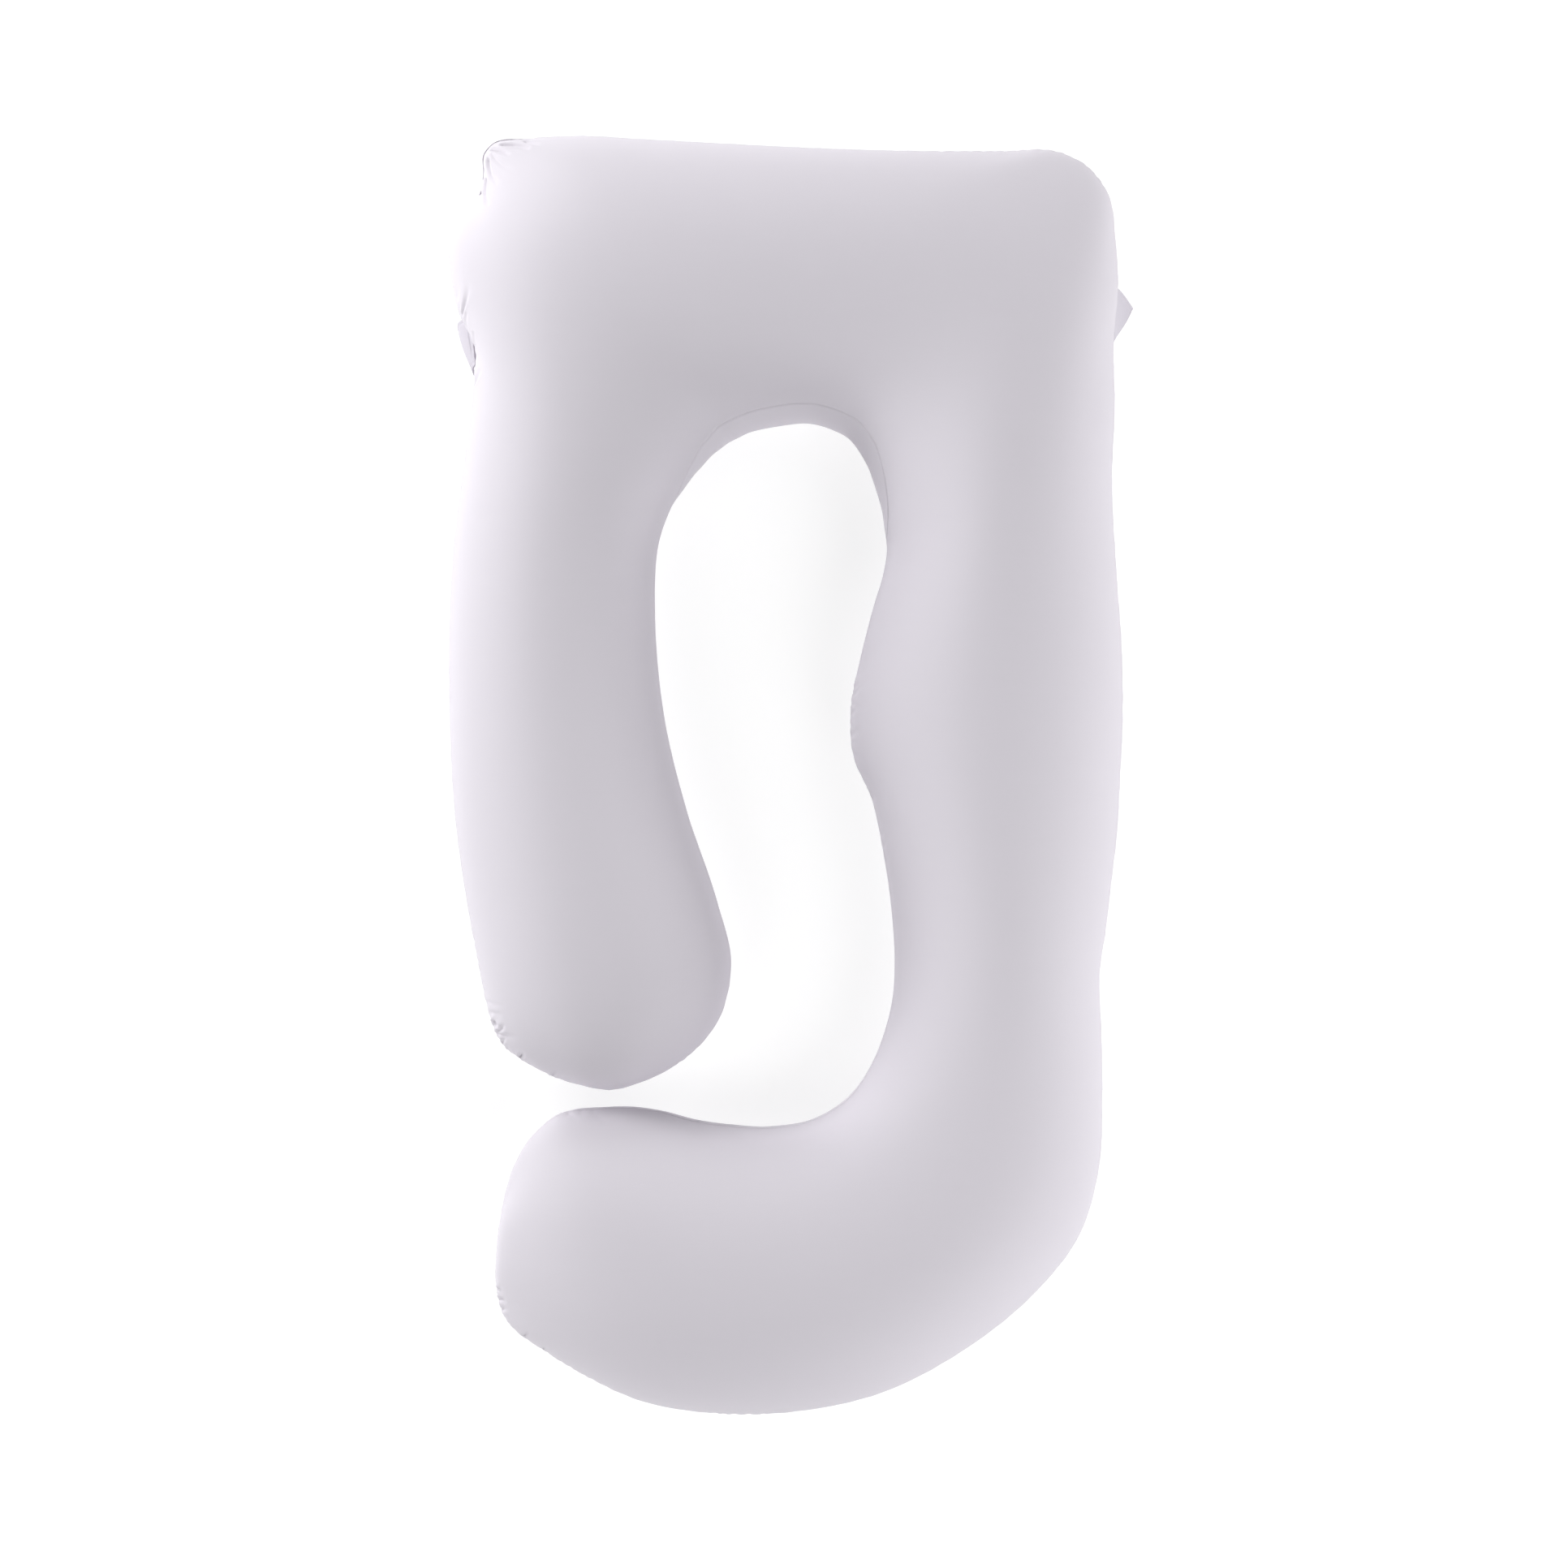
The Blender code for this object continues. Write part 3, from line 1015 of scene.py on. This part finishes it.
COVER_COTTON = ClothFinish("cover_cotton", (0.70, 0.675, 0.72), (0.60, 0.57, 0.625))
STRAP_COTTON = ClothFinish("strap_cotton", (0.60, 0.575, 0.63), (0.51, 0.48, 0.54), thread=1.1 * MM)


@dataclass
class PillowCover:
    """The filled case."""

    shape: CaseShape
    filling: Filling
    sewing: Sewing
    coarse_pitch: float = 8 * MM
    fine_pitch: float = 2.2 * MM
    crown_pitch: float = 11 * MM
    seam_pitch: float = 2.1 * MM
    front_zone: float = 52 * MM
    back_zone: float = 18 * MM
    panel_width: float = 400 * MM
    end_bulge: float = 3 * MM

    def build(self, material: bpy.types.Material) -> bpy.types.Object:
        """Make the case, fill it and sew it.

        Args:
            material: Its cloth.

        Returns:
            The finished piece.
        """
        stations = self.shape.stations(self.coarse_pitch, self.fine_pitch)
        valley = self.sewing.valley_width
        front, back = (
            self.shape.spread(self.crown_pitch, self.seam_pitch, zone, self.panel_width, valley)
            for zone in (self.front_zone, self.back_zone)
        )
        net = self.shape.net(stations, front, back)
        net.points += self.filling.settle(self.shape, net, stations)
        height = self.sewing.relief(self.shape, net)
        net.points += net.normals() * height[:, :, None]
        net.points[:, :, 2] = np.maximum(net.points[:, :, 2], 0)
        piece = skin("pillow_cover", net, self.end_bulge)
        piece.data.materials.append(material)
        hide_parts("pillow")
        return piece


@dataclass(frozen=True)
class StrapTab:
    """A short end of doubled strap, sewn into the side seam, from where it hangs down and out.

    Attributes:
        node: The solid that it replaces.
        upper: Its edge towards the head, as four guide points from the seam, in millimetres.
        lower: Its other edge, likewise.
        belly: How far its middle stands out of the plain surface, in millimetres.
        pleat: How deep it is pressed in beside the seam, in millimetres.
    """

    node: str
    upper: tuple[tuple[float, float, float], ...]
    lower: tuple[tuple[float, float, float], ...]
    belly: float
    pleat: float = 0.0
    pleat_place: float = 7 * MM
    pleat_width: float = 1.2 * MM
    width: float = 46 * MM
    length: float = 50 * MM
    thickness: float = 2.2 * MM
    cells: int = 44
    hem: float = 3 * MM
    hem_depth: float = 0.45 * MM
    hem_width: float = 0.9 * MM
    wave: float = 0.5 * MM
    nudge: float = 0.02
    rim_share: float = 0.42

    @staticmethod
    def edge(guides: tuple[tuple[float, float, float], ...], run: float) -> Vector:
        """Find a point on an edge.

        Args:
            guides: The edge's guide points, in millimetres.
            run: The share of the way from the seam to the free end.

        Returns:
            The point, in metres.
        """
        a, b, c, d = (Vector(guide) * MM for guide in guides)
        rest = 1 - run
        return a * rest**3 + b * (3 * rest**2 * run) + c * (3 * rest * run**2) + d * run**3

    def build(self, material: bpy.types.Material) -> bpy.types.Object:
        """Make the strap, with a row of stitching pulled in along each edge.

        Args:
            material: Its cloth.

        Returns:
            The finished piece.
        """
        bpy.ops.object.select_all(action="DESELECT")
        bpy.ops.mesh.primitive_grid_add(x_subdivisions=self.cells, y_subdivisions=self.cells, size=1)
        piece = bpy.context.object
        piece.name = piece.data.name = f"{self.node}_strap"
        layer = piece.data.uv_layers.active
        layer.name = "cloth"
        for corner in layer.data:
            corner.uv = (corner.uv[0] * self.width, corner.uv[1] * self.length)
        for vertex in piece.data.vertices:
            over, run = vertex.co.x + 0.5, vertex.co.y + 0.5
            place = self.edge(self.upper, run).lerp(self.edge(self.lower, run), over)
            across = self.edge(self.lower, run) - self.edge(self.upper, run)
            ahead = self.edge(self.upper, min(run + self.nudge, 1))
            ahead -= self.edge(self.upper, max(run - self.nudge, 0))
            outward = across.cross(ahead).normalized()
            outward *= math.copysign(1, outward.x * place.x)
            stitches = min(over, 1 - over) * self.width - self.hem
            hem_end = (1 - run) * self.length - self.hem
            lift = self.belly * MM * math.sin(over * math.pi) * math.sin(run * math.pi * 0.8)
            lift += self.wave * math.sin(8 * over + 5 * run) * run
            pressed = (run * self.length - self.pleat_place) / self.pleat_width
            lift -= self.pleat * MM * math.exp(-(pressed**2)) * math.sin(over * math.pi)
            for off in (stitches, hem_end):
                lift -= self.hem_depth * math.exp(-((off / self.hem_width) ** 2))
            vertex.co = place + outward * lift
        wall = piece.modifiers.new("cloth", "SOLIDIFY")
        wall.thickness = self.thickness
        wall.offset = 0
        rim = piece.modifiers.new("folded_rim", "BEVEL")
        rim.width = self.thickness * self.rim_share
        rim.segments = 3
        rim.limit_method = "ANGLE"
        bpy.context.view_layer.objects.active = piece
        for modifier in (wall.name, rim.name):
            bpy.ops.object.modifier_apply(modifier=modifier)
        bpy.ops.object.mode_set(mode="EDIT")
        bpy.ops.mesh.select_all(action="SELECT")
        bpy.ops.mesh.normals_make_consistent(inside=False)
        bpy.ops.object.mode_set(mode="OBJECT")
        piece.data.shade_smooth()
        piece.data.materials.append(material)
        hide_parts(self.node)
        return piece


TABS = (
    StrapTab(
        "right_tab",
        ((368, 553, 84), (375, 550, 68), (383, 543, 53), (391, 535, 40)),
        ((364, 507, 84), (368, 503, 64), (367, 498, 48), (365, 492, 39)),
        belly=1.0,
    ),
    StrapTab(
        "left_tab",
        ((-363, 516, 88), (-377, 519, 80), (-382, 516, 60), (-382, 510, 46)),
        ((-358, 465, 88), (-363, 463, 80), (-365, 460, 60), (-362, 456, 46)),
        belly=1.6,
        pleat=1.1,
    ),
)


@dataclass(frozen=True)
class Softbox:
    """A large soft light that faces the pillow.

    Attributes:
        name: Its name.
        azimuth: Its direction in plan, in degrees from the right, towards the head.
        elevation: How high it stands, in degrees.
        power: Its power, in watts.
        tall: Its height. Those that stand low are low themselves.
    """

    name: str
    azimuth: float
    elevation: float
    power: float
    tall: float
    wide: float = 1.8
    distance: float = 3.2

    def build(self, centre: Vector) -> None:
        """Hang the light and turn it to the pillow.

        Args:
            centre: The point that it faces.
        """
        lamp = bpy.data.lights.new(self.name, "AREA")
        lamp.shape = "RECTANGLE"
        lamp.size, lamp.size_y = self.wide, self.tall
        lamp.energy = self.power
        hung = bpy.data.objects.new(self.name, lamp)
        bpy.context.scene.collection.objects.link(hung)
        around, up = math.radians(self.azimuth), math.radians(self.elevation)
        level = math.cos(up)
        towards = Vector((level * math.cos(around), level * math.sin(around), math.sin(up)))
        hung.location = centre + self.distance * towards
        hung.rotation_euler = (-towards).to_track_quat("-Z", "Y").to_euler()


CORNERS = {"head_right": 45, "head_left": 135, "foot_left": 225, "foot_right": 315}
FILL_POWERS = {"head_right": 25, "foot_left": 25, "foot_right": 45}
SIDES = {"right": 0, "head": 90, "left": 180, "foot": 270}
STRIP_POWERS = {"right": 40, "head": 20, "left": 40, "foot": 15}
KEY_POWER = 65
KEY_ELEVATION, FILL_ELEVATION, STRIP_ELEVATION = 20, 45, 7
KEY_TALL, FILL_TALL, STRIP_TALL = 1.0, 1.4, 0.6


def key_light() -> Softbox:
    """The strongest light, which stands low at the head's left."""
    return Softbox("key_light", CORNERS["head_left"], KEY_ELEVATION, KEY_POWER, KEY_TALL)


def fill_lights() -> list[Softbox]:
    """A light that hangs higher over each other corner."""
    return [
        Softbox(f"{at}_fill", CORNERS[at], FILL_ELEVATION, power, FILL_TALL)
        for at, power in FILL_POWERS.items()
    ]


def strip_lights() -> list[Softbox]:
    """A low strip along each side, which lights the pillow's rim."""
    return [
        Softbox(f"{at}_strip", SIDES[at], STRIP_ELEVATION, power, STRIP_TALL)
        for at, power in STRIP_POWERS.items()
    ]


@dataclass
class Studio:
    """The white studio: floor, soft lights and the camera over the pillow."""

    centre: tuple[float, float, float] = (-0.0090, -0.0101, 0.080)
    lights_centre: tuple[float, float, float] = (0, 0, 0.08)
    view_width: float = 1.780
    lens: float = 85.0
    sensor: float = 36.0
    floor_size: float = 14.0
    floor_tone: float = 0.35
    floor_roughness: float = 0.9
    floor_glow: float = 0.74

    def build(self) -> None:
        """Set up everything that isn't the object."""
        self.floor()
        for light in [key_light(), *fill_lights(), *strip_lights()]:
            light.build(Vector(self.lights_centre))
        self.camera()
        world = bpy.data.worlds.new("studio")
        bpy.context.scene.world = world
        world.use_nodes = True
        world.node_tree.nodes["Background"].inputs["Strength"].default_value = 0
        bpy.context.scene.view_settings.view_transform = "Standard"

    def floor(self) -> None:
        """A plain white floor."""
        bpy.ops.mesh.primitive_plane_add(size=self.floor_size)
        floor = bpy.context.object
        floor.name = "floor"
        white = bpy.data.materials.new("floor_white")
        white.use_nodes = True
        shader = white.node_tree.nodes["Principled BSDF"]
        shader.inputs["Base Color"].default_value = (*[self.floor_tone] * 3, 1)
        shader.inputs["Roughness"].default_value = self.floor_roughness
        shader.inputs["Specular IOR Level"].default_value = 0.0
        shader.inputs["Emission Color"].default_value = (1, 1, 1, 1)
        shader.inputs["Emission Strength"].default_value = self.floor_glow
        floor.data.materials.append(white)

    def camera(self) -> None:
        """Look straight down, with the head at the top of the picture."""
        lens = bpy.data.cameras.new("camera")
        lens.lens = self.lens
        lens.sensor_width = self.sensor
        camera = bpy.data.objects.new("camera", lens)
        bpy.context.scene.collection.objects.link(camera)
        x, y, z = self.centre
        camera.location = (x, y, z + self.view_width * self.lens / self.sensor)
        bpy.context.scene.camera = camera


def main() -> None:
    """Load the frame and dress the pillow."""
    logging.basicConfig(level=logging.INFO, format="%(name)s: %(message)s")
    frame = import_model()
    LOG.info("frame holds %s", ", ".join(sorted(frame["nodes"])))
    Studio().build()
    weave = SateenWeave().group()
    strap = STRAP_COTTON.material(weave)
    pieces = [PillowCover(CaseShape(), Filling(), Sewing()).build(COVER_COTTON.material(weave))]
    pieces += [tab.build(strap) for tab in TABS]
    for piece in pieces:
        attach(piece, BODY)
        LOG.info("%s: %d faces", piece.name, len(piece.data.polygons))


if __name__ == "__main__":
    main()
